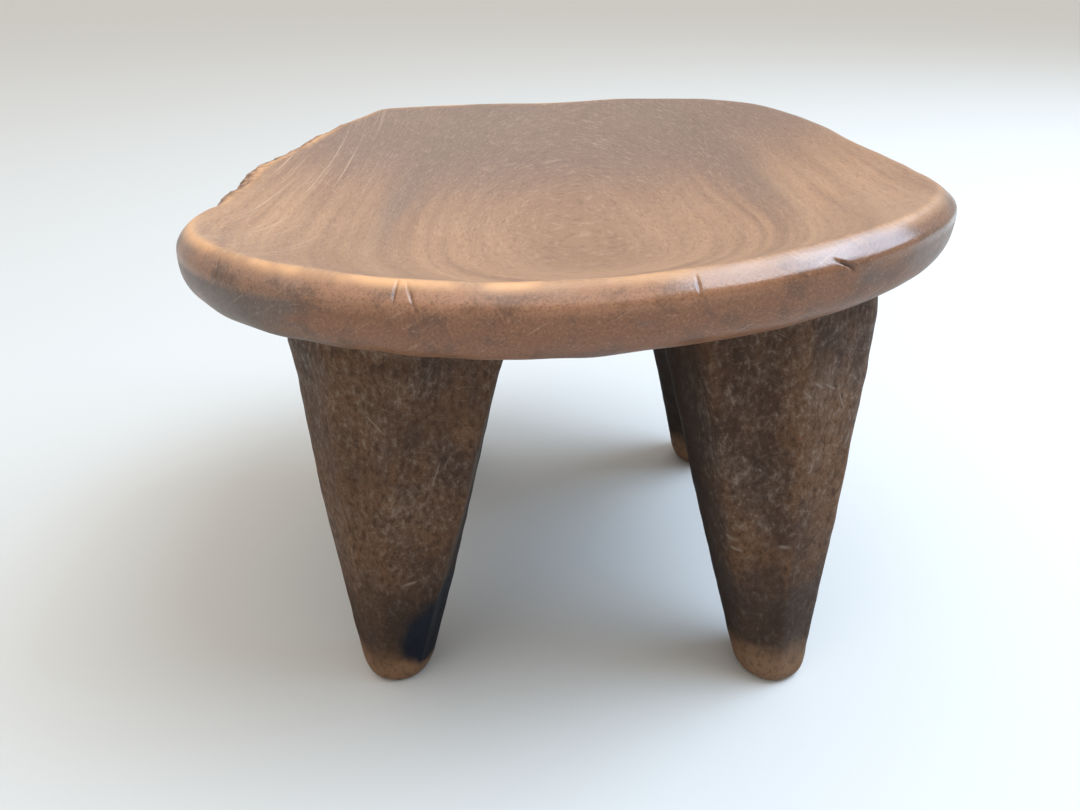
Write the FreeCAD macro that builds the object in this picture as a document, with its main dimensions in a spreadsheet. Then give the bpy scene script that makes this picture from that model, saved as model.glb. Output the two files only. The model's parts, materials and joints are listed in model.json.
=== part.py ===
import FreeCAD
import Part
import Sketcher
import math
import os

# Four-legged stool carved from one log: a dished, saddle-bent oval seat on
# four splayed, tapering legs. +Z is up, +X is to the right and -Y is the
# front. The origin is on the ground under the middle of the seat. The log's
# grain runs front to back, along Y.

V = FreeCAD.Vector
doc = FreeCAD.newDocument("carved_stool")

# Driving dimensions, in mm and degrees. The seat's heights are those of its
# upper surface, and each leg radius is out to the edges between its facets.
SIZES = [
    ("seat_half_width", 162),
    ("seat_half_length", 161),
    ("seat_height", 183),
    ("side_rise", 32),
    ("end_rise", 39),
    ("seat_thickness", 27),
    ("end_arc_radius", 340),
    ("side_arc_radius", 330),
    ("corner_arc_radius", 128),
    ("top_edge_radius", 7),
    ("lower_edge_radius", 12),
    ("seat_lean", 2.0),
    ("lean_heading", 27),
    ("trim_margin", 20),
    ("leg_offset_x", 11),
    ("leg_offset_y", -6),
    ("foot_spread_x", 90),
    ("foot_spread_y", 95),
    ("hip_spread_x", 71),
    ("hip_spread_y", 65),
    ("sole_radius", 12),
    ("toe_radius", 17),
    ("knee_radius", 36),
    ("hip_radius", 53.5),
    ("toe_height", 6),
    ("knee_height", 100),
    ("hip_height", 200),
]
FACETS = 8

sheet = doc.addObject("Spreadsheet::Sheet", "sizes")
for row, (alias, value) in enumerate(SIZES, start=1):
    sheet.set("A%d" % row, alias)
    sheet.set("B%d" % row, str(value))
    sheet.setAlias("B%d" % row, alias)
doc.recompute()
size = {alias: float(sheet.get(alias)) for alias, value in SIZES}


def bend_radius(half_span, rise):
    # the arc that rises by `rise` at `half_span` from its middle
    return (size[half_span] ** 2 + size[rise] ** 2) / (2 * size[rise])


def bend_formula(half_span, rise):
    # the same radius as an expression of the sheet's cells
    return "(sizes.{0} ^ 2 + sizes.{1} ^ 2) / (2 * sizes.{1})".format(half_span, rise)


cross_radius = bend_radius("seat_half_width", "side_rise")
long_radius = bend_radius("seat_half_length", "end_rise")
CROSS_FORMULA = bend_formula("seat_half_width", "side_rise")
LONG_FORMULA = bend_formula("seat_half_length", "end_rise")

# --- sketch helpers -----------------------------------------------------------

ORIGIN = (-1, 1)
ACROSS = -1
UPWARD = -2
START, END, CENTRE = 1, 2, 3


def new_sketch(body, name, role):
    # an empty sketch on one of the body's own origin planes
    plane = next(f for f in body.Origin.OriginFeatures if f.Role == role)
    sketch = body.newObject("Sketcher::SketchObject", name)
    sketch.AttachmentSupport = [(plane, "")]
    sketch.MapMode = "FlatFace"
    return sketch


def fix(sketch, kind, *places):
    sketch.addConstraint(Sketcher.Constraint(kind, *places))


def bind(sketch, formula, kind, *places):
    # a dimension driven by the sheet, which starts at the drawn value
    value = sketch.evalExpression(formula)
    value = getattr(value, "Value", value)
    index = sketch.addConstraint(Sketcher.Constraint(kind, *places, value))
    sketch.setExpression("Constraints[%d]" % index, formula)


def arc_below(centre, radius, half_chord):
    # the lower arc of a circle, from left to right
    half_angle = math.asin(half_chord / radius)
    down = -math.pi / 2
    circle = Part.Circle(centre, V(0, 0, 1), radius)
    return Part.ArcOfCircle(circle, down - half_angle, down + half_angle)


# --- the seat's bent slab -------------------------------------------------------


def section_sketch(body, name, dished):
    # The seat's cross-section in the XZ plane, from its lower arc up to the
    # dished upper arc, or up to a level line well above the rim. The sketch
    # holds the line that the section turns about, too: it lies across the
    # seat, at the centre of the seat's long bend.
    edge = size["seat_half_width"] + size["trim_margin"]
    edge_formula = "sizes.seat_half_width + sizes.trim_margin"
    centre = V(0, cross_radius, 0)
    lower_radius = cross_radius + size["seat_thickness"]
    low = cross_radius - math.sqrt(lower_radius ** 2 - edge ** 2)
    high = cross_radius - math.sqrt(cross_radius ** 2 - edge ** 2)
    if not dished:
        high = 2 * size["end_rise"]

    sketch = new_sketch(body, name, "XZ_Plane")
    lower = sketch.addGeometry(arc_below(centre, lower_radius, edge))
    right = sketch.addGeometry(Part.LineSegment(V(edge, low, 0), V(edge, high, 0)))
    left = sketch.addGeometry(Part.LineSegment(V(-edge, low, 0), V(-edge, high, 0)))
    if dished:
        upper = sketch.addGeometry(arc_below(centre, cross_radius, edge))
    else:
        upper = sketch.addGeometry(Part.LineSegment(V(-edge, high, 0), V(edge, high, 0)))
    axis_line = Part.LineSegment(V(-edge, long_radius, 0), V(edge, long_radius, 0))
    axis = sketch.addGeometry(axis_line, True)

    fix(sketch, "Coincident", lower, END, right, START)
    fix(sketch, "Coincident", lower, START, left, START)
    fix(sketch, "Coincident", upper, END, right, END)
    fix(sketch, "Coincident", upper, START, left, END)
    fix(sketch, "Vertical", right)
    fix(sketch, "Vertical", left)
    fix(sketch, "PointOnObject", lower, CENTRE, UPWARD)
    bind(sketch, CROSS_FORMULA, "DistanceY", *ORIGIN, lower, CENTRE)
    bind(sketch, CROSS_FORMULA + " + sizes.seat_thickness", "Radius", lower)
    bind(sketch, edge_formula, "DistanceX", *ORIGIN, lower, END)
    bind(sketch, edge_formula, "DistanceX", lower, START, *ORIGIN)
    if dished:
        fix(sketch, "Coincident", upper, CENTRE, lower, CENTRE)
        bind(sketch, CROSS_FORMULA, "Radius", upper)
    else:
        fix(sketch, "Horizontal", upper)
        bind(sketch, "2 * sizes.end_rise", "DistanceY", *ORIGIN, upper, START)
    fix(sketch, "Horizontal", axis)
    bind(sketch, LONG_FORMULA, "DistanceY", *ORIGIN, axis, START)
    bind(sketch, edge_formula, "DistanceX", *ORIGIN, axis, END)
    bind(sketch, edge_formula, "DistanceX", axis, START, *ORIGIN)
    return sketch


def bent_slab(body, name, dished):
    # the cross-section turned until it reaches past both ends of the seat
    slab = body.newObject("PartDesign::Revolution", name)
    sketch = section_sketch(body, name + "_section", dished)
    slab.Profile = sketch
    slab.ReferenceAxis = (sketch, ["Axis0"])
    slab.Midplane = True
    reach = "sizes.seat_half_length + sizes.trim_margin"
    slab.setExpression("Angle", "2 * asin(({0}) / ({1}))".format(reach, LONG_FORMULA))
    return slab


def place_seat(body):
    # The seat's own origin is the bottom of its dish. It sits at the seat's height
    # and leans, rising toward the heading, which turns from the right to the back.
    heading = math.radians(size["lean_heading"])
    axis = V(math.sin(heading), -math.cos(heading), 0)
    body.Placement = FreeCAD.Placement(V(0, 0, 0), axis, size["seat_lean"])
    body.setExpression("Placement.Base.z", "sizes.seat_height")
    body.setExpression("Placement.Rotation.Axis.x", "sin(sizes.lean_heading)")
    body.setExpression("Placement.Rotation.Axis.y", "-cos(sizes.lean_heading)")
    body.setExpression("Placement.Rotation.Angle", "sizes.seat_lean")


# --- seat -----------------------------------------------------------------------


def corner_centre(side_x, side, end_y, end, corner):
    # The centre of the corner arc in the first quadrant. The arc runs smoothly
    # into the side arc, centred at (side_x, 0), and the end arc, at (0, end_y),
    # so its centre is the difference of their radii away from each centre.
    side_centre = V(side_x, 0, 0)
    between = V(0, end_y, 0) - side_centre
    span = between.Length
    to_side, to_end = side - corner, end - corner
    along = (to_side ** 2 - to_end ** 2 + span ** 2) / (2 * span)
    off = math.sqrt(to_side ** 2 - along ** 2)
    way = between / span
    return side_centre + way * along + V(-way.y, way.x, 0) * off


def oval_sketch(body, name):
    # What is cut away round the seat: from a square outside it in to the
    # squared oval of its plan, eight arcs that run smoothly into each other.
    side = size["side_arc_radius"]
    end = size["end_arc_radius"]
    corner = size["corner_arc_radius"]
    side_x = size["seat_half_width"] - side
    end_y = size["seat_half_length"] - end
    middle = corner_centre(side_x, side, end_y, end, corner)
    low = math.atan2(middle.y, middle.x - side_x)
    high = math.atan2(middle.y - end_y, middle.x)
    half, full = math.pi, 2 * math.pi
    plan = [
        (V(side_x, 0, 0), side, -low, low),
        (V(middle.x, middle.y, 0), corner, low, high),
        (V(0, end_y, 0), end, high, half - high),
        (V(-middle.x, middle.y, 0), corner, half - high, half - low),
        (V(-side_x, 0, 0), side, half - low, half + low),
        (V(-middle.x, -middle.y, 0), corner, half + low, half + high),
        (V(0, -end_y, 0), end, half + high, full - high),
        (V(middle.x, -middle.y, 0), corner, full - high, full - low),
    ]
    sketch = new_sketch(body, name, "XY_Plane")
    arcs = []
    for centre, radius, start, stop in plan:
        circle = Part.Circle(centre, V(0, 0, 1), radius)
        arcs.append(sketch.addGeometry(Part.ArcOfCircle(circle, start, stop)))
    for arc, following in zip(arcs, arcs[1:] + arcs[:1]):
        fix(sketch, "Tangent", arc, END, following, START)

    right, back, left, front = arcs[::2]
    first_corner = arcs[1]
    fix(sketch, "Equal", right, left)
    fix(sketch, "Equal", back, front)
    for arc in arcs[3::2]:
        fix(sketch, "Equal", first_corner, arc)
    bind(sketch, "sizes.side_arc_radius", "Radius", right)
    bind(sketch, "sizes.end_arc_radius", "Radius", back)
    bind(sketch, "sizes.corner_arc_radius", "Radius", first_corner)
    for arc in (right, left):
        fix(sketch, "PointOnObject", arc, CENTRE, ACROSS)
    for arc in (back, front):
        fix(sketch, "PointOnObject", arc, CENTRE, UPWARD)
    side_offset = "sizes.side_arc_radius - sizes.seat_half_width"
    end_offset = "sizes.end_arc_radius - sizes.seat_half_length"
    bind(sketch, side_offset, "DistanceX", right, CENTRE, *ORIGIN)
    bind(sketch, side_offset, "DistanceX", *ORIGIN, left, CENTRE)
    bind(sketch, end_offset, "DistanceY", back, CENTRE, *ORIGIN)
    bind(sketch, end_offset, "DistanceY", *ORIGIN, front, CENTRE)
    surround(sketch)
    return sketch


def surround(sketch):
    # a square that lies outside the bent slab on every side
    reach = size["seat_half_width"] + 2 * size["trim_margin"]
    formula = "sizes.seat_half_width + 2 * sizes.trim_margin"
    corners = [V(-reach, -reach, 0), V(reach, -reach, 0), V(reach, reach, 0), V(-reach, reach, 0)]
    lines = []
    for start, stop in zip(corners, corners[1:] + corners[:1]):
        lines.append(sketch.addGeometry(Part.LineSegment(start, stop)))
    for line, following in zip(lines, lines[1:] + lines[:1]):
        fix(sketch, "Coincident", line, END, following, START)
    for line, way in zip(lines, ("Horizontal", "Vertical") * 2):
        fix(sketch, way, line)
    bind(sketch, formula, "DistanceX", *ORIGIN, lines[1], START)
    bind(sketch, formula, "DistanceX", lines[3], START, *ORIGIN)
    bind(sketch, formula, "DistanceY", *ORIGIN, lines[2], START)
    bind(sketch, formula, "DistanceY", lines[0], START, *ORIGIN)


def top_surface(x, y):
    # height of the seat's upper surface in the seat's own frame
    section = cross_radius - math.sqrt(cross_radius ** 2 - x ** 2)
    return long_radius - math.sqrt((long_radius - section) ** 2 - y ** 2)


def rim_edges(shape, side):
    # the curved edges round the seat's wall, either the upper or the lower ones
    names = []
    for number, edge in enumerate(shape.Edges, start=1):
        if isinstance(edge.Curve, Part.Line):
            continue
        middle = edge.valueAt((edge.FirstParameter + edge.LastParameter) / 2)
        depth = top_surface(middle.x, middle.y) - middle.z
        is_upper = depth < size["seat_thickness"] / 2
        if is_upper == (side == "upper"):
            names.append("Edge%d" % number)
    return names


def round_edges(body, base, name, side, radius):
    rounded = body.newObject("PartDesign::Fillet", name)
    rounded.Base = (base, rim_edges(base.Shape, side))
    rounded.setExpression("Radius", "sizes." + radius)
    doc.recompute()
    return rounded


def seat():
    body = doc.addObject("PartDesign::Body", "seat")
    bent_slab(body, "bent_slab", dished=True)
    trim = body.newObject("PartDesign::Pocket", "oval_trim")
    trim.Profile = oval_sketch(body, "oval_plan")
    trim.Midplane = True
    trim.Type = "ThroughAll"
    doc.recompute()
    crest = round_edges(body, trim, "rounded_crest", "upper", "top_edge_radius")
    round_edges(body, crest, "rolled_lower_edge", "lower", "lower_edge_radius")
    place_seat(body)
    return body


# --- legs -----------------------------------------------------------------------


def above_underside():
    # everything that lies above the seat's underside, where no leg may reach
    body = doc.addObject("PartDesign::Body", "above_underside")
    bent_slab(body, "above_slab", dished=False)
    place_seat(body)
    return body


def leg_ring(name, radius, height, right, back):
    # One level ring of the leg, with as many edges as the leg has facets. The
    # middle of the rings moves in a straight line from the foot to the hip.
    ring = doc.addObject("Part::RegularPolygon", name)
    ring.Polygon = FACETS
    ring.setExpression("Circumradius", "sizes." + radius)
    ring.Placement = FreeCAD.Placement(V(0, 0, 0), V(0, 0, 1), 180 / FACETS)
    share = "{0} / sizes.hip_height".format(height)
    for axis, side in (("x", right), ("y", back)):
        foot = "sizes.foot_spread_" + axis
        hip = "sizes.hip_spread_" + axis
        spread = "({0} + ({1} - {0}) * {2})".format(foot, hip, share)
        place = "sizes.leg_offset_{0} + {1} * {2}".format(axis, side, spread)
        ring.setExpression("Placement.Base." + axis, place)
    ring.setExpression("Placement.Base.z", height)
    return ring


def leg(name, right, back, ceiling):
    # a faceted cone from the sole to above the seat, cut to the seat's underside
    rings = [
        leg_ring(name + "_sole", "sole_radius", "0", right, back),
        leg_ring(name + "_toe", "toe_radius", "sizes.toe_height", right, back),
        leg_ring(name + "_knee", "knee_radius", "sizes.knee_height", right, back),
        leg_ring(name + "_hip", "hip_radius", "sizes.hip_height", right, back),
    ]
    cone = doc.addObject("Part::Loft", name + "_cone")
    cone.Sections = rings
    cone.Solid = True
    cone.Ruled = True
    cut = doc.addObject("Part::Cut", name)
    cut.Base = cone
    cut.Tool = ceiling
    return cut


# --- build, check and write -------------------------------------------------------

ceiling = above_underside()
pieces = [
    seat(),
    leg("front_left_leg", -1, -1, ceiling),
    leg("front_right_leg", 1, -1, ceiling),
    leg("rear_left_leg", -1, 1, ceiling),
    leg("rear_right_leg", 1, 1, ceiling),
]
doc.recompute()

for item in doc.Objects:
    if "Invalid" in item.State or "Error" in item.State:
        raise RuntimeError(item.Label + " did not compute")
os.makedirs("parts", exist_ok=True)
for piece in pieces:
    shape = piece.Shape
    if shape.isNull() or not shape.isValid() or len(shape.Solids) != 1:
        raise RuntimeError(piece.Label + " is not one valid solid")
    shape.exportStep("parts/" + piece.Label + ".step")
    print(piece.Label, round(shape.Volume / 1000), "cm3")
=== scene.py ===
import json
import math

import bpy
import numpy as np
from mathutils import Matrix, Vector, noise
from mathutils.bvhtree import BVHTree


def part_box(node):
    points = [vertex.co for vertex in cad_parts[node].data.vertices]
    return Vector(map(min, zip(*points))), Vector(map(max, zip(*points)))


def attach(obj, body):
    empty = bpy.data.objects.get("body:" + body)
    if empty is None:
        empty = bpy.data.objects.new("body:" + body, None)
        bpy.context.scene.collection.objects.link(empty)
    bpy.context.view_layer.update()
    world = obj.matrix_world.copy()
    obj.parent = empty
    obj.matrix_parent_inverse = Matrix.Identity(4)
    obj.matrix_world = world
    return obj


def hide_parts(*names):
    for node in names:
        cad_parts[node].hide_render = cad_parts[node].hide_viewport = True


# A low stool carved from one log, also used as a neck rest: a dished, saddle-bent
# seat on four cone legs. The log's grain runs front to back, along Y.

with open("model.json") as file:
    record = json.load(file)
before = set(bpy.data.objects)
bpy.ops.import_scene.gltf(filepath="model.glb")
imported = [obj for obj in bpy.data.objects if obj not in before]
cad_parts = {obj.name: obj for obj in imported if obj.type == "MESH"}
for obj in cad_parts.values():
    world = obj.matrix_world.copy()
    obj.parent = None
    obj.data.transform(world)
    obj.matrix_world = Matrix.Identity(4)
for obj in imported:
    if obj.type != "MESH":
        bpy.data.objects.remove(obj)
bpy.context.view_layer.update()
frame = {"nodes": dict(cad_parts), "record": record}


def topHeight(node, x, y):
    # height of a CAD node's upper surface over a point of the floor
    tree = BVHTree.FromObject(frame["nodes"][node], bpy.context.evaluated_depsgraph_get())
    return tree.ray_cast(Vector((x, y, 1)), Vector((0, 0, -1)))[0].z


def wobble(points, scale, seed=0.0):
    # smooth noise from -1 to 1 at each point, the same on every run
    shift = Vector((seed * 7.3, seed * 3.1, seed * 5.7))
    flat = points.reshape(-1, 3) * scale
    values = [noise.noise(Vector(p) + shift) for p in flat]
    return np.array(values).reshape(points.shape[:-1])


def smoothLine(control, count):
    # points along a uniform cubic B-spline through a column of control points
    last = len(control) - 3
    spots = np.linspace(0, last, count)
    spots[-1] -= 1e-9
    cell = np.floor(spots).astype(int)
    u = (spots - cell).reshape((-1,) + (1,) * (control.ndim - 1))
    weights = ((1 - u) ** 3, 3 * u ** 3 - 6 * u ** 2 + 4, -3 * u ** 3 + 3 * u ** 2 + 3 * u + 1, u ** 3)
    return sum(w * control[cell + k] for k, w in enumerate(weights)) / 6


def gridNormals(points):
    # outward normals of a grid of rings, first index along the profile
    along = np.gradient(points, axis=0)
    around = np.roll(points, -1, axis=1) - np.roll(points, 1, axis=1)
    normals = np.cross(along, around)
    length = np.linalg.norm(normals, axis=2, keepdims=True)
    return normals / np.maximum(length, 1e-12)


def ringMesh(name, rings, marks):
    # a closed skin over stacked rings, capped by a point at each end
    rows, columns = rings.shape[:2]
    points = rings.reshape(-1, 3)
    ends = [rings[0].mean(axis=0), rings[-1].mean(axis=0)]
    faces = []
    for row in range(rows - 1):
        base = row * columns
        for column in range(columns):
            right = (column + 1) % columns
            faces.append((base + column, base + columns + column, base + columns + right, base + right))
    firstCap, lastCap = rows * columns, rows * columns + 1
    lastRow = (rows - 1) * columns
    for column in range(columns):
        right = (column + 1) % columns
        faces.append((firstCap, column, right))
        faces.append((lastCap, lastRow + right, lastRow + column))
    mesh = bpy.data.meshes.new(name)
    mesh.from_pydata(np.vstack([points, ends]).tolist(), [], faces)
    mesh.polygons.foreach_set("use_smooth", [True] * len(faces))
    for mark, values in marks.items():
        layer = mesh.attributes.new(mark, "FLOAT", "POINT")
        flat = values.reshape(-1)
        layer.data.foreach_set("value", np.concatenate([flat, [flat[0], flat[-1]]]))
    mesh.update()
    piece = bpy.data.objects.new(name, mesh)
    bpy.context.scene.collection.objects.link(piece)
    return piece


def hump(gap, width):
    # 1 where the gap is 0, fading smoothly to 0 at the width
    near = np.clip(1 - np.abs(gap) / width, 0, 1)
    return near ** 2 * (3 - 2 * near)


def angleGap(turns, centre):
    # from a centre round to each turn, in radians from -pi to pi
    return (turns - centre + math.pi) % (2 * math.pi) - math.pi


# metres, unless a note says otherwise
seat = {
    "across": 0.9693, "along": 0.99649,    # the outline's width and length over the CAD seat's
    "aside": (0.00121, 0.00085),    # from the CAD seat's middle to the outline's
    "outlinePower": 2.5,       # 2 is an ellipse; more is squarer
    "outlineTurn": 4.9,        # degrees that the oval is turned from the legs
    # how far the carver's eye was out: waves round the outline, as times round, metres
    "waves": [(2, 0.00185, 0.0), (3, 0.00165, -0.00215), (4, -0.0014, 0.0013)],
    "ripples": [(9, 0.0003, 1.0), (14, 0.0003, 2.0)],    # times round, metres, start
    "thickness": 0.0272,
    # how the upper surface bends up, in metres per square metre, and leans
    "crossBend": 1.334, "longBend": 1.519, "twist": -0.032,
    "rightRise": 0.0318, "backRise": 0.0176,
    "crispAt": 295, "crispSpread": 95,    # degrees: where the bevel is crispest
    "columns": 420,
    "dishRings": 50,
    "rimRings": 50,
    "underRings": 18,
    # the log's own surface, left at the rear left: degrees from +X round to it, and
    # its swellings and bites as (degrees, spread, metres out)
    "waneFrom": 128, "waneTo": 195, "waneReach": 0.015, "waneRough": 0.0019,
    "bites": [
        (182, 9, 0.0026), (167, 13, 0.0036), (151, 5, -0.0014), (141, 7, -0.0004), (128, 6, 0.0010)],
}
# small checks and nicks in the rim: degrees round the rim, how far from the crest
# they start and end down the wall, lean along the rim, width and depth in metres
rimChecks = [
    {"at": 224, "start": 0.000, "end": 0.009, "lean": 0.004, "width": 0.0005, "depth": 0.0005},
    {"at": 228, "start": 0.002, "end": 0.010, "lean": 0.005, "width": 0.0006, "depth": 0.0005},
    {"at": 251, "start": -0.001, "end": 0.010, "lean": 0.001, "width": 0.0005, "depth": 0.0006},
    {"at": 253, "start": 0.000, "end": 0.013, "lean": 0.007, "width": 0.0004, "depth": 0.0006},
    {"at": 262, "start": 0.009, "end": 0.017, "lean": -0.012, "width": 0.0005, "depth": 0.0004},
    {"at": 285, "start": 0.002, "end": 0.010, "lean": -0.001, "width": 0.0004, "depth": 0.0005},
    {"at": 302, "start": 0.006, "end": 0.012, "lean": 0.008, "width": 0.0007, "depth": 0.0013},
]

# the rim's profile as how far outside the outline and how far below the upper surface
rim = {
    # a rounded crest, a worn bevel, a steep wall and a quick turn under
    "crisp": np.array([
        (-0.0340, 0.0000), (-0.0220, 0.0000), (-0.0130, 0.0000), (-0.0092, 0.0000),
        (-0.0080, 0.0003), (-0.0071, 0.0011), (-0.0052, 0.0033), (-0.0026, 0.0063),
        (-0.0009, 0.0084), (-0.0002, 0.0098), (0.0001, 0.0125), (0.0001, 0.0185),
        (-0.0007, 0.0220), (-0.0025, 0.0248), (-0.0064, 0.0266), (-0.0120, 0.0270),
        (-0.0200, 0.0270), (-0.0300, 0.0270),
    ]),
    "soft": np.array([
        (-0.0340, 0.0000), (-0.0240, 0.0000), (-0.0145, 0.0000), (-0.0095, 0.0001),
        (-0.0074, 0.0006), (-0.0056, 0.0017), (-0.0036, 0.0040), (-0.0019, 0.0066),
        (-0.0008, 0.0090), (-0.0001, 0.0116), (0.0001, 0.0150), (0.0000, 0.0185),
        (-0.0012, 0.0218), (-0.0034, 0.0245), (-0.0074, 0.0264), (-0.0130, 0.0270),
        (-0.0200, 0.0270), (-0.0300, 0.0270),
    ]),
    # where the log's own surface is left, it falls away in a broad slope
    "sloping": np.array([
        (-0.0340, 0.0000), (-0.0260, 0.0000), (-0.0215, 0.0003), (-0.0180, 0.0009),
        (-0.0150, 0.0015), (-0.0120, 0.0022), (-0.0088, 0.0032), (-0.0056, 0.0045),
        (-0.0030, 0.0066), (-0.0012, 0.0100), (0.0000, 0.0140), (-0.0002, 0.0185),
        (-0.0012, 0.0218), (-0.0034, 0.0245), (-0.0074, 0.0264), (-0.0130, 0.0270),
        (-0.0200, 0.0270), (-0.0300, 0.0270),
    ]),
    "crestDepth": 0.0009,      # the crest is the first ring below this
}

seatLow, seatHigh = (Vector(corner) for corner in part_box("seat"))
seatMiddle = (seatLow + seatHigh) / 2 + Vector((*seat["aside"], 0))
halfWidth = seat["across"] * (seatHigh.x - seatLow.x) / 2
halfLength = seat["along"] * (seatHigh.y - seatLow.y) / 2
dishBottom = topHeight("seat", 0, 0)


def dishHeight(x, y):
    # the seat's upper surface: bent up at front and back, dished across, leaning
    lean = seat["rightRise"] * x + seat["backRise"] * y
    bend = seat["crossBend"] * x ** 2 + seat["longBend"] * y ** 2 + seat["twist"] * x * y
    return dishBottom + lean + bend


def outlineRadius(turns):
    power = seat["outlinePower"]
    turned = turns - math.radians(seat["outlineTurn"])
    across = np.abs(np.cos(turned)) / halfWidth
    along = np.abs(np.sin(turned)) / halfLength
    radius = (across ** power + along ** power) ** (-1 / power)
    for times, even, odd in seat["waves"]:
        radius = radius + even * np.cos(times * turns) + odd * np.sin(times * turns)
    for at, spread, reach in seat["bites"]:
        radius = radius + reach * hump(angleGap(turns, math.radians(at)), math.radians(spread))
    for times, reach, start in seat["ripples"]:
        radius = radius + reach * np.sin(times * turns + start)
    return radius


def seatTurns():
    # even steps round the seat, with more of them at the checks and the rough strip
    turns = [2 * math.pi * k / seat["columns"] for k in range(seat["columns"])]
    for check in rimChecks:
        middle = math.radians(check["at"])
        reach = (abs(check["lean"]) + 4 * check["width"]) / halfWidth
        turns += list(np.arange(middle - reach, middle + reach, 0.0004 / halfWidth))
    turns += list(np.radians(np.arange(seat["waneFrom"], seat["waneTo"], 0.6)))
    return np.unique(np.round(np.array(turns) % (2 * math.pi), 5))


def carveSeat():
    turns = seatTurns()
    radius = outlineRadius(turns)

    middle = math.radians((seat["waneFrom"] + seat["waneTo"]) / 2)
    spread = math.radians((seat["waneTo"] - seat["waneFrom"]) / 2)
    inWane = np.clip(1.8 * (1 - np.abs(angleGap(turns, middle)) / spread), 0, 1)
    # the bevel is crispest round the front and right, softest at the left and back
    fromCrispest = angleGap(turns, math.radians(seat["crispAt"]))
    crisp = 0.35 + 0.65 * hump(fromCrispest, math.radians(seat["crispSpread"]))
    blended = rim["soft"][:, None] + (rim["crisp"] - rim["soft"])[:, None] * crisp[:, None]
    blended += (rim["sloping"][:, None] - blended) * (0.6 * inWane)[:, None]
    rimOffset = smoothLine(blended[:, :, 0], seat["rimRings"])
    rimDepth = smoothLine(blended[:, :, 1], seat["rimRings"])

    shares = np.linspace(0, 1, seat["dishRings"], endpoint=False)[1:, None] ** 0.9
    dishRadius = shares * (radius + rimOffset[0])
    underShares = np.linspace(1, 0, seat["underRings"], endpoint=False)[1:, None]
    underRadius = underShares * (radius + rimOffset[-1])
    ringRadius = np.vstack([dishRadius, radius + rimOffset, underRadius])
    underDepth = np.full_like(underRadius, seat["thickness"])
    depth = np.vstack([np.zeros_like(dishRadius), rimDepth, underDepth])

    x = seatMiddle.x + ringRadius * np.cos(turns)
    y = seatMiddle.y + ringRadius * np.sin(turns)
    points = np.dstack([x, y, dishHeight(x, y) - depth])
    inset = radius - ringRadius
    above = depth < 0.5 * seat["thickness"]

    normals = gridNormals(points)
    # broad unevenness from the adze, finer on the underside
    points += normals * (0.0005 * wobble(points, 16, 1) + 0.0003 * wobble(points, 50, 2))[:, :, None]
    under = np.clip((depth - 0.02) / 0.006, 0, 1)
    strokes = wobble(points * np.array([1, 0.35, 1]), 60, 3)
    points += normals * (0.0006 * under * strokes)[:, :, None]

    # the log's own surface left at the rear left: rough, bitten and a little low
    nearEdge = np.clip(1.5 * (1 - inset / seat["waneReach"]), 0, 1)
    wane = inWane * nearEdge
    rough = 0.45 * wobble(points, 80, 4) + 0.40 * wobble(points, 210, 5) + 0.3 * wobble(points, 520, 6)
    points += normals * (seat["waneRough"] * wane * (rough - 0.15))[:, :, None]

    # checks: narrow grooves down the rim's wall
    steps = np.linalg.norm(np.diff(points, axis=0), axis=2)
    run = np.vstack([np.zeros((1, len(turns))), np.cumsum(steps, axis=0)])
    crestRow = len(dishRadius) + int(np.argmax(rimDepth.mean(axis=1) > rim["crestDepth"]))
    fromCrest = run - run[crestRow]
    groove = np.zeros_like(inset)
    for check in rimChecks:
        length = check["end"] - check["start"]
        share = (fromCrest - check["start"]) / length
        sideways = angleGap(turns, math.radians(check["at"])) * radius
        sideways = sideways - check["lean"] * (share - 0.5)
        inside = np.clip(4 * share * (1 - share), 0, 1) * (share > 0) * (share < 1)
        cut = check["depth"] * inside * np.exp(-(sideways / check["width"]) ** 2)
        groove = np.maximum(groove, cut)
    points -= normals * groove[:, :, None]

    # never above the solid that it clothes
    points[:, :, 2] = np.minimum(points[:, :, 2], seatHigh.z - 0.0002)

    # where the woods differ, each from 0 to 1
    bevelStart = np.clip((fromCrest - 0.0005) / 0.002, 0, 1)
    bevelEnd = np.clip((0.0125 - fromCrest) / 0.002, 0, 1)
    marks = {
        "crest": np.exp(-((fromCrest - 0.0006) / 0.0024) ** 2) * above,
        "bevel": bevelStart * bevelEnd,
        "wall": np.clip((fromCrest - 0.0008) / 0.0040, 0, 1),
        "wane": wane,
        "crack": np.clip(groove / 0.0008, 0, 1),
    }
    return ringMesh("carvedSeat", points, marks)


carvedSeat = carveSeat()
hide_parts("seat")
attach(carvedSeat, "root")
print("seat carved", len(carvedSeat.data.vertices))


# metres, unless a note says otherwise
leg = {
    "columns": 160,
    "rings": 120,
    "toeHeight": 0.008,
    "soleShare": 0.74,         # sole radius over the foot's radius
    "footRadius": 0.0158,
    "kneeRadius": 0.0330,
    "kneeHeight": 0.100,
    "thighHeight": 0.155, "thighShare": 0.93,    # its radius over the hip's
    "hipShare": 0.95,          # height of the hip over the CAD leg's height
    "junction": 0.003,         # small hollow where the leg runs into the seat
    "facetPower": 34,          # more gives crisper ridges between facets
    "facetsFrom": 0.022,       # the facets die away into a round toe below this height
}


def facetRound(turn, twist, distances):
    # eight facets as (direction at the foot, direction at the top, distance at the
    # foot, distance at the top), in degrees and shares of the leg's radius
    return [(turn + 45 * k - twist, turn + 45 * k, d, d) for k, d in enumerate(distances)]


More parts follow.
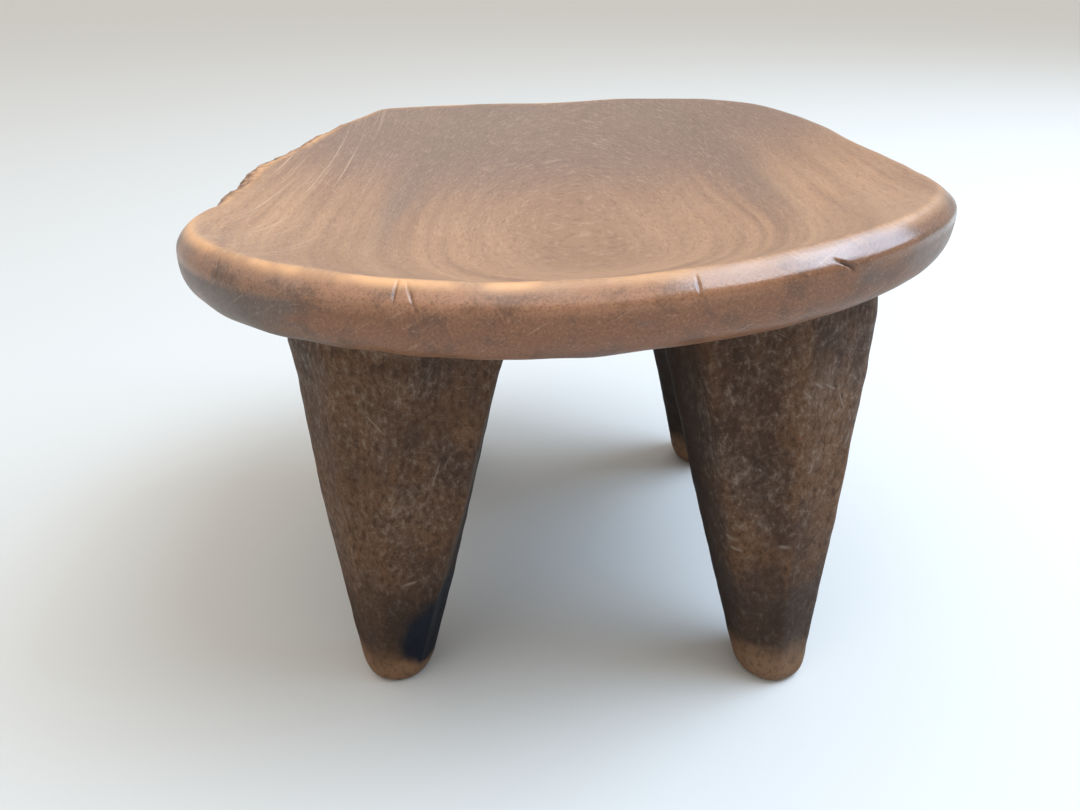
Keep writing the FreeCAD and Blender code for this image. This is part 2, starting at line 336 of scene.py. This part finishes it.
# facets, how far the foot and the top stand off the CAD leg's line, in metres, and
# how stout the top is
legShapes = {
    "front_left_leg": {
        "facets": [
            (-128, -101, 0.97, 0.975), (-88, -57, 0.95, 0.965), (-18, -1, 0.90, 0.925),
            (36, 48, 0.96, 0.96), (84, 94, 0.96, 0.96), (130, 138, 0.96, 0.97),
            (176, 182, 0.96, 0.97), (216, 221, 0.97, 0.965),
        ],
        "foot": (0.0010, 0.0050), "hip": (0.0010, 0.0), "stout": 1.05,
    },
    "front_right_leg": {
        "facets": facetRound(28, 3, (0.96, 0.95, 0.97, 0.95, 0.955, 0.94, 0.955, 0.95)),
        "foot": (0.0005, 0.0020), "hip": (-0.0020, 0.0), "stout": 0.985,
    },
    "rear_left_leg": {
        "facets": facetRound(9, 12, (0.95, 0.97, 0.94, 0.96, 0.97, 0.95, 0.94, 0.96)),
        "foot": (0.0, 0.0), "hip": (0.0, 0.0), "stout": 1.0,
    },
    "rear_right_leg": {
        "facets": facetRound(-12, -8, (0.97, 0.94, 0.96, 0.95, 0.96, 0.97, 0.94, 0.95)),
        "foot": (-0.0010, 0.0), "hip": (0.0, 0.0), "stout": 1.0,
    },
}
# a blue-black dye mark on one leg, round the inner side just above the foot
stain = {"leg": "front_left_leg", "side": -26, "spread": 74, "height": 0.031, "reach": 0.030}
# light scratches and scuffs: side in degrees, height and length in metres, slope in
# degrees up from level
legScratches = {
    "front_right_leg": [
        {"side": -76, "height": 0.160, "slope": -34, "length": 0.011, "width": 0.0008},
        {"side": -82, "height": 0.157, "slope": -40, "length": 0.007, "width": 0.0006},
        {"side": -68, "height": 0.158, "slope": -30, "length": 0.008, "width": 0.0006},
        {"side": -58, "height": 0.150, "slope": -62, "length": 0.012, "width": 0.0005},
        {"side": -112, "height": 0.083, "slope": 4, "length": 0.014, "width": 0.0017},
        {"side": -108, "height": 0.078, "slope": -3, "length": 0.010, "width": 0.0012},
        {"side": -80, "height": 0.084, "slope": 2, "length": 0.008, "width": 0.0013},
    ],
    "front_left_leg": [
        {"side": -98, "height": 0.146, "slope": -50, "length": 0.012, "width": 0.0005},
        {"side": -70, "height": 0.120, "slope": 70, "length": 0.016, "width": 0.0005},
        {"side": -92, "height": 0.064, "slope": 12, "length": 0.009, "width": 0.0010},
    ],
}


def underHeight(x, y):
    return dishHeight(x, y) - seat["thickness"]


def carveLeg(node, foot, seed):
    shape = legShapes[node]
    low, high = (Vector(corner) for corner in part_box(node))
    foot = foot + Vector((*shape["foot"], 0))
    hip = Vector(((low.x + high.x) / 2, (low.y + high.y) / 2, leg["hipShare"] * high.z))
    hip += Vector((*shape["hip"], 0))
    hipRadius = (high.x - low.x) / 2 * shape["stout"]
    turns = np.linspace(0, 2 * math.pi, leg["columns"], endpoint=False)

    def section(z):
        # the ring of the leg's skin, each column at its own height, and how near
        # a ridge between two facets each point is
        share = z / hip.z
        x = foot.x + (hip.x - foot.x) * share
        y = foot.y + (hip.y - foot.y) * share
        heights = [0, leg["kneeHeight"], leg["thighHeight"], hip.z]
        kneeRadius = leg["kneeRadius"] * shape["stout"]
        radii = [leg["footRadius"], kneeRadius, leg["thighShare"] * hipRadius, hipRadius]
        size = np.interp(z, heights, radii)
        cuts = []
        for atFoot, atTop, near, far in shape["facets"]:
            facing = np.radians(atFoot + (atTop - atFoot) * share)
            distance = near + (far - near) * share
            cuts.append(np.clip(np.cos(turns - facing) / distance, 0, None) ** leg["facetPower"])
        cuts = np.array(cuts)
        hewn = cuts.sum(axis=0) ** (-1 / leg["facetPower"])
        size = size * (1 + (hewn - 1) * np.clip(z / leg["facetsFrom"], 0, 1))
        first, second = np.sort(cuts, axis=0)[[-1, -2]]
        ring = np.dstack([x + size * np.cos(turns), y + size * np.sin(turns), z + 0 * size])[0]
        return ring, second / first

    # step toward the height where each column of the skin meets the seat's underside
    meet = np.full(leg["columns"], hip.z)
    for step in range(6):
        ring = section(meet)[0]
        meet = underHeight(ring[:, 0], ring[:, 1])
    shares = np.linspace(0, 1, leg["rings"]) ** 1.1
    sections = [section(share * meet) for share in shares]
    rings = np.array([ring for ring, ridge in sections])
    ridge = np.array([ridge for ring, ridge in sections])
    middle = rings.mean(axis=1, keepdims=True)

    # rounded toe, and the small hollow under the seat
    lift = np.clip(rings[:, :, 2] / leg["toeHeight"], 0, 1)
    toe = leg["soleShare"] + (1 - leg["soleShare"]) * np.sqrt(1 - (1 - lift) ** 2)
    gap = np.clip((meet - rings[:, :, 2]) / leg["junction"], 0, 1)
    flare = 1 + leg["junction"] / hipRadius * (1 - np.sqrt(1 - (1 - gap) ** 2))
    rings[:, :, :2] = middle[:, :, :2] + (rings - middle)[:, :, :2] * (toe * flare)[:, :, None]

    normals = gridNormals(rings)
    # the adze's long hollows and finer unevenness, none at the foot or at the seat
    fade = np.clip(rings[:, :, 2] / 0.01, 0, 1) * np.clip((meet - rings[:, :, 2]) / 0.006, 0, 1)
    hollows = wobble(rings * np.array([1, 1, 0.4]), 38, seed) * 0.0007
    hollows = hollows + wobble(rings, 110, seed + 5) * 0.0003
    rings += normals * (hollows * fade)[:, :, None]

    # the legs' inner sides, which get painted shade in the wood below
    inward = math.atan2(-hip.y, -hip.x)
    inner = np.clip((np.cos(angleGap(turns, inward)) - 0.05) / 0.55, 0, 1) + 0 * ridge
    dyed = np.zeros(ridge.shape)
    if node == stain["leg"]:
        aside = angleGap(turns, math.radians(stain["side"])) / math.radians(stain["spread"])
        raised = (rings[:, :, 2] - stain["height"]) / stain["reach"]
        dyed = np.clip(1.6 * (1 - np.sqrt(aside ** 2 + raised ** 2)), 0, 1)

    # a flat sole, and a cap sunk a little into the seat
    sole = np.array([middle[0] + (rings[0] - middle[0]) * share for share in (0.25, 0.5, 0.75, 0.9)])
    sunk = rings[-1] + np.array([0, 0, 0.0015])
    core = sunk.mean(axis=0)
    cap = np.array([core + (sunk - core) * share for share in (0.98, 0.6, 0.3)])
    marks = {}
    for name, values in (("ridge", ridge), ("inner", inner), ("stain", dyed)):
        below, above = (np.zeros((len(rows), leg["columns"])) for rows in (sole, cap))
        marks[name] = np.concatenate([below, values, above])
    return ringMesh(node + "_carved", np.concatenate([sole, rings, cap]), marks)


carvedLegs = {}
for number, node in enumerate(sorted(legShapes)):
    mount = next(m for m in frame["record"]["mounts"] if m["name"] == node.replace("leg", "foot"))
    carvedLegs[node] = carveLeg(node, Vector(mount["pos_m"]), 10 + 3 * number)
    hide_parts(node)
    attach(carvedLegs[node], "root")
print("legs carved")


class Recipe:
    # a short way to write a material: every call adds a node and gives its output
    def __init__(self, name):
        self.material = bpy.data.materials.new(name)
        self.material.use_nodes = True
        self.tree = self.material.node_tree
        self.tree.nodes.clear()

    def add(self, kind, inputs, output=0, **settings):
        made = self.tree.nodes.new(kind)
        for field, value in settings.items():
            setattr(made, field, value)
        for place, value in inputs.items():
            if isinstance(value, bpy.types.NodeSocket):
                self.tree.links.new(value, made.inputs[place])
            else:
                made.inputs[place].default_value = value
        return made.outputs[output]

    def sum(self, first, second):
        return self.add("ShaderNodeMath", {0: first, 1: second}, operation="ADD")

    def times(self, first, second):
        return self.add("ShaderNodeMath", {0: first, 1: second}, operation="MULTIPLY")

    def size(self, value):
        return self.add("ShaderNodeMath", {0: value}, operation="ABSOLUTE")

    def far(self, vector):
        return self.add("ShaderNodeVectorMath", {0: vector}, output=1, operation="LENGTH")

    def split(self, vector):
        made = self.tree.nodes.new("ShaderNodeSeparateXYZ")
        self.tree.links.new(vector, made.inputs[0])
        return made.outputs[0], made.outputs[1], made.outputs[2]

    def join(self, x, y, z):
        return self.add("ShaderNodeCombineXYZ", {0: x, 1: y, 2: z})

    def stretch(self, vector, scales):
        return self.add("ShaderNodeVectorMath", {0: vector, 1: scales}, operation="MULTIPLY")

    def shift(self, vector, other):
        return self.add("ShaderNodeVectorMath", {0: vector, 1: other}, operation="ADD")

    def turned(self, vector, degrees):
        # the vector in axes turned this far about Z
        inputs = {0: vector, 2: (0, 0, 1), 3: -math.radians(degrees)}
        return self.add("ShaderNodeVectorRotate", inputs)

    def tipped(self, vector, degrees):
        # the vector in axes tipped this far about a level line that runs nearly along Y
        inputs = {0: vector, 2: (0.3, 0.95, 0), 3: math.radians(degrees)}
        return self.add("ShaderNodeVectorRotate", inputs)

    def cloud(self, vector, scale, detail=3, roughness=0.5):
        inputs = {"Vector": vector, "Scale": scale, "Detail": detail, "Roughness": roughness}
        return self.add("ShaderNodeTexNoise", inputs)

    def wander(self, vector, scale, reach):
        # a smooth push of up to about half the reach in every direction
        inputs = {"Vector": vector, "Scale": scale, "Detail": 2.0}
        colour = self.add("ShaderNodeTexNoise", inputs, output=1)
        centred = self.shift(colour, (-0.5, -0.5, -0.5))
        return self.stretch(centred, (reach, reach, reach))

    def fade(self, value, start, end, low=0.0, high=1.0):
        # low below the start, high above the end, smooth between
        inputs = {0: value, 1: start, 2: end, 3: low, 4: high}
        return self.add("ShaderNodeMapRange", inputs, interpolation_type="SMOOTHSTEP")

    def near(self, value, centre, width):
        # 1 at the centre, fading to 0 at the width on both sides
        return self.fade(self.size(self.sum(value, -centre)), 0.0, width, 1.0, 0.0)

    def scratch(self, spot, at, along, length, width):
        # 1 on a straight stroke through a point, fading out past its width and ends
        aside = self.shift(spot, tuple(-at))
        both = {0: aside, 1: along}
        share = self.add("ShaderNodeVectorMath", both, output=1, operation="DOT_PRODUCT")
        across = self.add("ShaderNodeVectorMath", both, operation="CROSS_PRODUCT")
        gap = self.far(across)
        ends = self.fade(self.size(share), length / 2, length / 4)
        return self.times(self.fade(gap, width, width / 3), ends)

    def ramp(self, value, stops):
        made = self.tree.nodes.new("ShaderNodeValToRGB")
        self.tree.links.new(value, made.inputs[0])
        elements = made.color_ramp.elements
        for number, (place, colour) in enumerate(stops):
            element = elements[number] if number < 2 else elements.new(place)
            element.position = place
            element.color = (*colour, 1)
        return made.outputs[0]

    def mix(self, share, under, over):
        inputs = {0: share, 6: under, 7: over}
        for place in (6, 7):
            if isinstance(inputs[place], tuple):
                inputs[place] = (*inputs[place], 1)
        return self.add("ShaderNodeMix", inputs, output=2, data_type="RGBA")

    def mark(self, name):
        return self.add("ShaderNodeAttribute", {}, output="Fac", attribute_name=name)

    def bump(self, height, distance, strength=1.0, under=None):
        inputs = {"Height": height, "Distance": distance, "Strength": strength}
        if under is not None:
            inputs["Normal"] = under
        return self.add("ShaderNodeBump", inputs)

    def finish(self, colour, roughness, normal, **constants):
        inputs = {"Base Color": colour, "Roughness": roughness, "Normal": normal}
        shader = self.tree.nodes.new("ShaderNodeBsdfPrincipled")
        for name, value in constants.items():
            shader.inputs[name.replace("_", " ")].default_value = value
        for name, value in inputs.items():
            self.tree.links.new(value, shader.inputs[name])
        end = self.tree.nodes.new("ShaderNodeOutputMaterial")
        self.tree.links.new(shader.outputs[0], end.inputs[0])
        return self.material


# the log's heart, under the dish: rings round it show as long ovals in the seat
log = {
    "heartX": 0.020,
    "heartZ": dishBottom - 0.115,
    "ringWander": 0.020,       # how far the rings wander, in metres
    "darkRing": 0.156,         # radius of the dark band of rings, in metres
    "darkRingWidth": 0.012,
    "core": 0.112,             # radius of the dark wood over the heart, in metres
    "coreWidth": 0.024,
}
seatColours = {
    "light": (0.43, 0.240, 0.130),
    "middle": (0.340, 0.181, 0.098),
    "dark": (0.225, 0.118, 0.068),
    "band": (0.185, 0.120, 0.082),
    # painted shade for the seat toward the back
    "back": (0.172, 0.104, 0.074),
    "pore": (0.10, 0.05, 0.03),
    "glint": (0.62, 0.43, 0.29),
    "crest": (0.70, 0.37, 0.17),
    "bevel": (0.37, 0.180, 0.098),
    "wall": (0.215, 0.091, 0.042),
    "wallGrey": (0.120, 0.088, 0.072),
}
legColours = {
    "dark": (0.017, 0.0090, 0.0055),
    "low": (0.036, 0.0195, 0.0120),
    "middle": (0.074, 0.040, 0.0245),
    "warm": (0.135, 0.068, 0.034),
    "dust": (0.215, 0.165, 0.130),
    "toe": (0.24, 0.130, 0.068),
    "stain": (0.004, 0.006, 0.012),
}


def seatWood():
    r = Recipe("seatWood")
    spot = r.add("ShaderNodeTexCoord", {}, output="Object")
    moved = r.shift(spot, r.wander(spot, 5.0, log["ringWander"]))
    moved = r.shift(moved, r.wander(spot, 30.0, 0.0022))
    x, y, z = r.split(moved)
    radius = r.far(r.join(r.sum(x, -log["heartX"]), r.sum(z, -log["heartZ"]), 0.0))
    onRing = r.join(radius, y, x)

    broad = r.cloud(r.stretch(onRing, (70.0, 2.5, 1.5)), 1.0, 2.0)
    fine = r.cloud(r.stretch(onRing, (330.0, 7.0, 5.0)), 1.0, 3.0, 0.6)
    grain = r.sum(r.times(broad, 0.5), r.times(fine, 0.5))
    colour = r.ramp(grain, [
        (0.32, seatColours["dark"]), (0.68, seatColours["light"]), (0.5, seatColours["middle"])])
    blotch = r.cloud(spot, 9.0, 3.0)
    colour = r.mix(r.fade(blotch, 0.45, 0.75, 0.0, 0.5), colour, seatColours["dark"])

    darkRing = r.near(radius, log["darkRing"], log["darkRingWidth"])
    towardBack = r.fade(y, -0.09, 0.05, 0.15, 1.0)
    darkRing = r.times(r.times(darkRing, towardBack), r.fade(broad, 0.3, 0.6, 0.5, 0.85))
    colour = r.mix(darkRing, colour, seatColours["band"])

    # painted shade: the seat is made darker toward the back
    colour = r.mix(r.fade(y, -0.02, 0.11, 0.0, 0.93), colour, seatColours["back"])
    overHeart = r.fade(r.size(r.sum(radius, -log["core"])), log["coreWidth"], 0.0, 0.0, 0.55)
    colour = r.mix(overHeart, colour, seatColours["dark"])

    # pores, and pale flecks as painted glints, drawn out along the rings
    flecks = r.cloud(r.stretch(onRing, (1900.0, 170.0, 170.0)), 1.0, 1.0)
    pores = r.fade(flecks, 0.58, 0.72)
    glints = r.fade(flecks, 0.42, 0.30)
    speck = r.cloud(spot, 2100.0, 2.0, 0.6)
    colour = r.mix(r.times(pores, 0.34), colour, seatColours["pore"])
    colour = r.mix(r.times(glints, 0.14), colour, seatColours["glint"])
    # long hair scratches along the grain at the left, and short ones all over
    atLeft = r.fade(x, -0.085, -0.115, 0.05, 0.34)
    hairs = r.cloud(r.stretch(r.turned(spot, -4.0), (1300.0, 11.0, 11.0)), 1.0, 1.0)
    colour = r.mix(r.times(r.fade(hairs, 0.60, 0.72), atLeft), colour, seatColours["glint"])
    nicks = r.cloud(r.stretch(r.turned(spot, -38.0), (110.0, 1900.0, 110.0)), 1.0, 1.0)
    colour = r.mix(r.fade(nicks, 0.67, 0.77, 0.0, 0.28), colour, seatColours["glint"])
    colour = r.mix(r.fade(speck, 0.54, 0.70, 0.0, 0.28), colour, seatColours["glint"])
    colour = r.mix(r.fade(speck, 0.46, 0.32, 0.0, 0.28), colour, seatColours["pore"])

    # the wall is greyer and darker than the sat-on top
    wall = r.mark("wall")
    wallPatch = r.cloud(r.stretch(spot, (1.0, 1.0, 2.5)), 16.0, 4.0, 0.6)
    greyer = r.sum(wallPatch, r.fade(x, -0.02, -0.13, -0.10, 0.12))
    wallColour = r.mix(r.fade(greyer, 0.42, 0.62), seatColours["wall"], seatColours["wallGrey"])
    warm = r.fade(r.cloud(spot, 11.0, 2.0), 0.50, 0.70)
    wallColour = r.mix(r.times(warm, 0.4), wallColour, seatColours["dark"])
    blot = r.cloud(spot, 75.0, 4.0, 0.6)
    wallColour = r.mix(r.fade(blot, 0.52, 0.34, 0.0, 0.50), wallColour, legColours["middle"])
    wallColour = r.mix(r.fade(x, 0.05, 0.15, 0.0, 0.40), wallColour, legColours["middle"])
    scrape = r.cloud(r.stretch(r.tipped(spot, 35.0), (60.0, 60.0, 1500.0)), 1.0, 1.0)
    wallColour = r.mix(r.fade(scrape, 0.65, 0.76, 0.0, 0.22), wallColour, seatColours["glint"])
    wallGrain = r.cloud(spot, 1200.0, 4.0, 0.7)
    wallColour = r.mix(r.fade(wallGrain, 0.54, 0.68, 0.0, 0.20), wallColour, seatColours["glint"])
    colour = r.mix(wall, colour, wallColour)

    # the bevel and the crest are rubbed pale and warm at the front and left
    bevel = r.times(r.mark("bevel"), r.fade(blot, 0.36, 0.56, 0.2, 0.62))
    bevel = r.times(bevel, r.fade(x, 0.03, 0.09, 1.0, 0.15))
    colour = r.mix(bevel, colour, seatColours["bevel"])
    wallPores = r.times(r.fade(wallGrain, 0.50, 0.36, 0.0, 0.55), wall)
    colour = r.mix(wallPores, colour, seatColours["pore"])
    crest = r.times(r.mark("crest"), r.fade(r.cloud(spot, 40.0, 3.0), 0.35, 0.6, 0.25, 0.9))
    crest = r.times(crest, r.fade(x, 0.0, 0.07, 1.0, 0.15))
    colour = r.mix(crest, colour, seatColours["crest"])

    wane = r.mark("wane")
    bark = r.fade(r.cloud(spot, 260.0, 3.0, 0.6), 0.44, 0.60)
    barkColour = r.mix(bark, legColours["warm"], seatColours["light"])
    colour = r.mix(r.times(wane, 0.75), colour, barkColour)
    colour = r.mix(r.times(r.mark("crack"), 0.35), colour, legColours["dark"])

    # smoother where hands have handled the bevel, rough on the log's own surface
    smudge = r.cloud(spot, 22.0, 4.0, 0.6)
    roughness = r.fade(smudge, 0.3, 0.7, 0.36, 0.52)
    roughness = r.sum(roughness, r.times(wane, 0.25))
    rubbed = r.times(r.mark("bevel"), r.fade(x, -0.06, 0.03, 0.4, 1.0))
    roughness = r.sum(roughness, r.times(rubbed, -0.24))
    normal = r.bump(flecks, 0.00003)
    normal = r.bump(speck, 0.000035, 1.0, normal)
    normal = r.bump(smudge, 0.0008, 0.3, normal)
    return r.finish(colour, roughness, normal, Specular_IOR_Level=0.5)


def scratchPlace(node, scratch):
    # the point of the leg's skin under a scratch, and the way the scratch runs
    turn, slope = math.radians(scratch["side"]), math.radians(scratch["slope"])
    skin = BVHTree.FromObject(carvedLegs[node], bpy.context.evaluated_depsgraph_get())
    low, high = (Vector(corner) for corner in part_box(node))
    outward = Vector((math.cos(turn), math.sin(turn), 0))
    core = (low + high) / 2
    start = Vector((core.x, core.y, scratch["height"])) + 0.2 * outward
    level = Vector((-outward.y, outward.x, 0))
    along = level * math.cos(slope) + Vector((0, 0, math.sin(slope)))
    return skin.ray_cast(start, -outward)[0], along


def legWood():
    r = Recipe("legWood")
    spot = r.add("ShaderNodeTexCoord", {}, output="Object")
    x, y, z = r.split(spot)
    upright = r.stretch(r.shift(spot, r.wander(spot, 12.0, 0.010)), (1.0, 1.0, 0.22))
    streak = r.cloud(upright, 60.0, 3.0, 0.55)
    mottle = r.cloud(spot, 34.0, 5.0, 0.62)
    shade = r.sum(r.times(streak, 0.5), r.times(mottle, 0.5))
    colour = r.ramp(shade, [
        (0.34, legColours["low"]), (0.66, legColours["warm"]), (0.5, legColours["middle"])])
    ridge = r.times(r.mark("ridge"), r.fade(mottle, 0.4, 0.6, 0.2, 0.8))
    colour = r.mix(ridge, colour, legColours["warm"])
    dust = r.cloud(spot, 20.0, 6.0, 0.7)
    # pale dust on the right-hand legs, partly real dust and partly painted light from the right
    rightDustAndLight = r.fade(x, 0.06, 0.12, 0.25, 0.55)
    colour = r.mix(r.times(r.fade(dust, 0.48, 0.68), rightDustAndLight), colour, legColours["dust"])
    rubbedRed = r.fade(r.cloud(spot, 15.0, 3.0, 0.6), 0.50, 0.66, 0.0, 0.6)
    colour = r.mix(rubbedRed, colour, legColours["warm"])
    # fine dust caught in the tool marks, dark pits and hair scratches every way
    grit = r.cloud(r.stretch(spot, (1.0, 1.0, 0.6)), 430.0, 5.0, 0.72)
    dusty = r.fade(dust, 0.36, 0.60, 0.25, 0.75)
    colour = r.mix(r.times(r.fade(grit, 0.50, 0.68), dusty), colour, legColours["dust"])
    colour = r.mix(r.fade(grit, 0.48, 0.34, 0.0, 0.34), colour, legColours["dark"])
    for tip in (-62.0, -25.0, 20.0, 58.0):
        hairs = r.cloud(r.stretch(r.tipped(spot, tip), (105.0, 105.0, 1700.0)), 1.0, 1.0)
        colour = r.mix(r.fade(hairs, 0.66, 0.76, 0.0, 0.32), colour, legColours["dust"])
    speck = r.cloud(spot, 1300.0, 2.0)
    colour = r.mix(r.fade(speck, 0.55, 0.75, 0.0, 0.4), colour, legColours["dark"])
    # painted shade: darker on the legs' inner sides and low down
    colour = r.mix(r.times(r.mark("inner"), 0.90), colour, legColours["dark"])
    # painted shade, darker toward the floor
    low = r.fade(r.sum(z, r.times(mottle, 0.05)), 0.120, 0.060, 0.0, 0.64)
    colour = r.mix(low, colour, legColours["dark"])
    toe = r.fade(r.sum(z, r.times(mottle, 0.030)), 0.0420, 0.0240, 0.0, 0.70)
    colour = r.mix(toe, colour, legColours["toe"])
    colour = r.mix(r.fade(grit, 0.50, 0.36, 0.0, 0.5), colour, legColours["low"])
    for node, scratches in legScratches.items():
        for scratch in scratches:
            at, along = scratchPlace(node, scratch)
            mask = r.scratch(spot, at, along, scratch["length"], scratch["width"])
            colour = r.mix(r.times(mask, 0.65), colour, legColours["dust"])
    dye = r.fade(r.sum(r.mark("stain"), r.times(r.sum(mottle, -0.5), 1.2)), 0.15, 0.55)
    colour = r.mix(dye, colour, legColours["stain"])
    roughness = r.fade(mottle, 0.3, 0.7, 0.50, 0.72)
    normal = r.bump(grit, 0.0004, 0.8)
    normal = r.bump(streak, 0.0012, 0.7, normal)
    return r.finish(colour, roughness, normal, Specular_IOR_Level=0.14)


carvedSeat.data.materials.append(seatWood())
legMaterial = legWood()
for piece in carvedLegs.values():
    piece.data.materials.append(legMaterial)
print("wood ready")


# metres from the stool's middle, degrees, and the lens in mm
view = {
    "height": 0.300, "distance": 0.3846, "across": -0.0078,
    "pitch": 28.8, "roll": 0.7,
    "lens": 27.03, "sensor": 36,
}


def placeCamera():
    data = bpy.data.cameras.new("viewer")
    data.lens = view["lens"]
    data.sensor_width = view["sensor"]
    data.clip_start = 0.01
    camera = bpy.data.objects.new("viewer", data)
    place = Matrix.Translation((view["across"], -view["distance"], view["height"]))
    tilt = Matrix.Rotation(math.radians(90 - view["pitch"]), 4, "X")
    roll = Matrix.Rotation(math.radians(-view["roll"]), 4, "Z")
    camera.matrix_world = place @ tilt @ roll
    bpy.context.scene.collection.objects.link(camera)
    bpy.context.scene.camera = camera


def plain(name, colour, roughness):
    material = bpy.data.materials.new(name)
    material.use_nodes = True
    shader = material.node_tree.nodes["Principled BSDF"]
    shader.inputs["Base Color"].default_value = (*colour, 1)
    shader.inputs["Roughness"].default_value = roughness
    return material


# soft lights: where they stand, how large they are, watts and colour
lamps = {
    "window": {"at": (1.62, 0.15, 1.85), "size": 1.7, "watts": 58, "colour": (0.55, 0.75, 1.0)},
    "skylight": {"at": (0.95, -0.25, 2.4), "size": 1.3, "watts": 30, "colour": (0.72, 0.85, 1.0)},
    "fill": {"at": (-1.8, -2.2, 1.3), "size": 1.6, "watts": 8, "colour": (1.0, 0.92, 0.82)},
}
# one wide, even light from overhead, and the pale room
room = {
    "overhead": 1.34, "overheadSpread": 75, "overheadColour": (1.0, 0.94, 0.86),
    "overheadAt": (-0.3, 0.3, 4.0), "lampAim": (0, 0, 0.12),
    "floorColour": (0.57, 0.565, 0.54), "floorSize": 60,
    "sky": (0.99, 0.98, 0.97), "skyStrength": 0.60,
}


def hang(name, data, at):
    lamp = bpy.data.objects.new(name, data)
    toward = Vector(room["lampAim"]) - Vector(at)
    turn = toward.to_track_quat("-Z", "Y").to_matrix().to_4x4()
    lamp.matrix_world = Matrix.Translation(at) @ turn
    bpy.context.scene.collection.objects.link(lamp)


def lightRoom():
    for name, lamp in lamps.items():
        data = bpy.data.lights.new(name, "AREA")
        data.shape = "DISK"
        data.size = lamp["size"]
        data.energy = lamp["watts"]
        data.color = lamp["colour"]
        hang(name, data, lamp["at"])
    overhead = bpy.data.lights.new("overhead", "SUN")
    overhead.angle = math.radians(room["overheadSpread"])
    overhead.energy = room["overhead"]
    overhead.color = room["overheadColour"]
    hang("overhead", overhead, room["overheadAt"])
    world = bpy.data.worlds.new("room")
    world.use_nodes = True
    sky = world.node_tree.nodes["Background"]
    sky.inputs["Color"].default_value = (*room["sky"], 1)
    sky.inputs["Strength"].default_value = room["skyStrength"]
    bpy.context.scene.world = world


def layFloor():
    half = room["floorSize"] / 2
    mesh = bpy.data.meshes.new("floor")
    corners = [(-half, -half, 0), (half, -half, 0), (half, half, 0), (-half, half, 0)]
    mesh.from_pydata(corners, [], [(0, 1, 2, 3)])
    floor = bpy.data.objects.new("floor", mesh)
    mesh.materials.append(plain("paleFloor", room["floorColour"], 0.7))
    bpy.context.scene.collection.objects.link(floor)


placeCamera()
lightRoom()
layFloor()
bpy.context.scene.view_settings.view_transform = "Standard"
print("camera, lights and floor ready")
